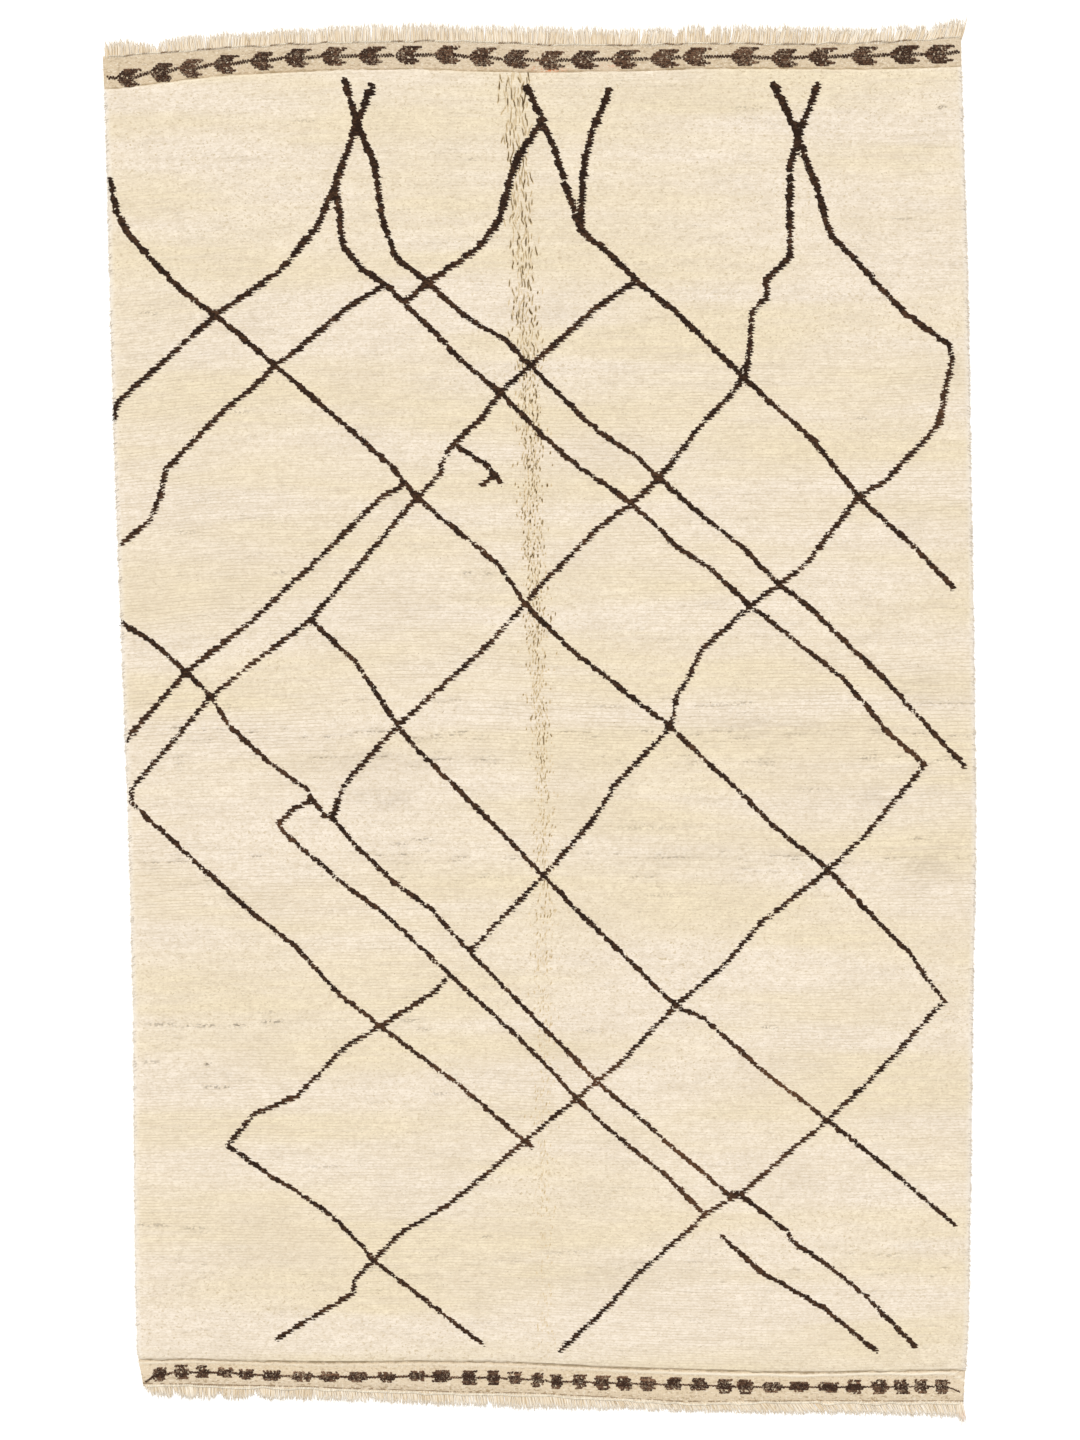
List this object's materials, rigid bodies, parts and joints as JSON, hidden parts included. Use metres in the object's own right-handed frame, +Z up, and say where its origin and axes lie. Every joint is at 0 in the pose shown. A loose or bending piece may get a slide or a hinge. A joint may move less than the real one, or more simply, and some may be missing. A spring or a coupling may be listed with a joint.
{
  "type": "afghan rug",
  "caption": "Flat hand-knotted cream wool rug with an uneven brown lozenge lattice, flat-woven ends with small brown motifs, and short cut fringes.",
  "frame": {"origin": "on the underside, at the middle of the rug with both fringes", "axes": "+Y along the rug's length towards the end with the arrow motifs, +X across its width, +Z up through the pile"},
  "size_m": [1.5308, 2.452, 0.013],
  "materials": {
    "knotted_wool": "cream wool pile with brown lines, matt",
    "cut_warps": "undyed warp yarn, matt"
  },
  "bodies": {
    "root": {"rug_cloth": "knotted_wool", "fringe_top": "cut_warps", "fringe_bottom": "cut_warps"}
  },
  "joints": []
}
